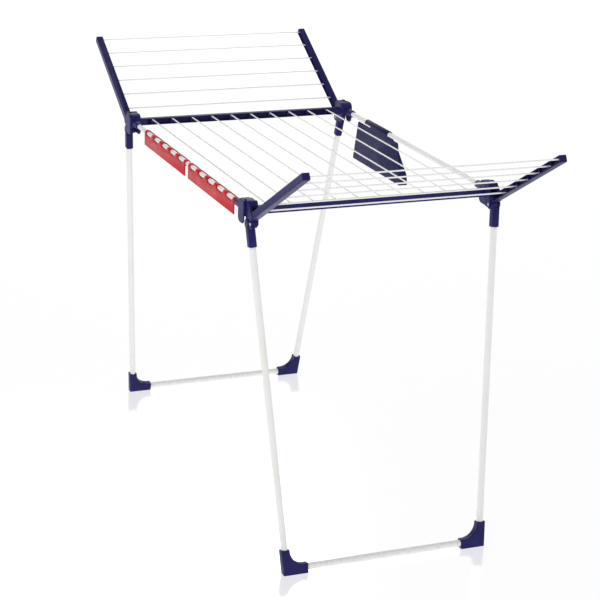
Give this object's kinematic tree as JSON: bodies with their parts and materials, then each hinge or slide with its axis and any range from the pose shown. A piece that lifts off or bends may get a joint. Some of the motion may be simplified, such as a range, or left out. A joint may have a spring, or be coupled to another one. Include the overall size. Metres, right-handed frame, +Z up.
{
  "type": "clothes drying rack",
  "caption": "Free-standing folding clothes airer: wire deck on splayed tube legs, two raised folding wire wings, corner hubs, clip-on small-item strips and a shoe holder.",
  "frame": {"origin": "on the floor, under the middle of the deck", "axes": "+X across the rack, +Y along it towards the far wing, +Z up"},
  "size_m": [0.7418, 1.7462, 1.1333],
  "materials": {
    "navy_plastic": "moulded polypropylene, satin, dark navy blue",
    "white_tube": "white powder-coated steel tube, semi-gloss",
    "white_wire": "steel wire with a smooth white coating",
    "pin_steel": "zinc-plated steel pins and screws",
    "red_plastic": "moulded red plastic, half gloss",
    "holder_plastic": "moulded dark blue plastic, satin"
  },
  "bodies": {
    "deck": {"far_left_hub": "navy_plastic", "far_right_hub": "navy_plastic", "near_left_hub": "navy_plastic", "near_right_hub": "navy_plastic", "far_end_rail": "navy_plastic", "near_end_rail": "navy_plastic", "left_side_tube": "white_tube", "right_side_tube": "white_tube", "deck_wires": "white_wire", "rail_screws": "pin_steel", "wing_pins": "navy_plastic", "leg_pins": "pin_steel"},
    "far_wing": {"far_left_arm": "navy_plastic", "far_right_arm": "navy_plastic", "far_wing_wires": "white_wire"},
    "far_legs": {"far_left_leg_sleeve": "navy_plastic", "far_left_leg_tube": "white_tube", "far_left_foot": "navy_plastic", "far_right_leg_sleeve": "navy_plastic", "far_right_leg_tube": "white_tube", "far_right_foot": "navy_plastic", "far_floor_tube": "white_tube"},
    "near_wing": {"near_left_arm": "navy_plastic", "near_right_arm": "navy_plastic", "near_wing_wires": "white_wire"},
    "near_legs": {"near_left_leg_sleeve": "navy_plastic", "near_left_leg_tube": "white_tube", "near_left_foot": "navy_plastic", "near_right_leg_sleeve": "navy_plastic", "near_right_leg_tube": "white_tube", "near_right_foot": "navy_plastic", "near_floor_tube": "white_tube"},
    "rear_holder": {"rear_small_item_holder": "red_plastic"},
    "front_holder": {"front_small_item_holder": "red_plastic"},
    "shoe_rack": {"shoe_holder": "holder_plastic"}
  },
  "joints": [
    {"name": "far_wing_fold", "type": "hinge", "parent": "deck", "child": "far_wing", "pos_m": [0, 0.514, 0.96], "axis": [1, 0, 0], "range_deg": [0, 150]},
    {"name": "near_wing_fold", "type": "hinge", "parent": "deck", "child": "near_wing", "pos_m": [0, -0.514, 0.96], "axis": [-1, 0, 0], "range_deg": [0, 150]},
    {"name": "far_legs_fold", "type": "hinge", "parent": "deck", "child": "far_legs", "pos_m": [0, 0.524, 0.915], "axis": [-1, 0, 0], "range_deg": [0, 97.1]},
    {"name": "near_legs_fold", "type": "hinge", "parent": "deck", "child": "near_legs", "pos_m": [0, -0.524, 0.915], "axis": [1, 0, 0], "range_deg": [0, 93.1]},
    {"name": "rear_holder_slide", "type": "slide", "parent": "deck", "child": "rear_holder", "axis": [0, 1, 0], "range_m": [0, 0.078]},
    {"name": "front_holder_slide", "type": "slide", "parent": "deck", "child": "front_holder", "axis": [0, 1, 0], "range_m": [0, 0.025]},
    {"name": "shoe_holder_slide", "type": "slide", "parent": "deck", "child": "shoe_rack", "axis": [0, 1, 0], "range_m": [-0.5, 0]}
  ]
}
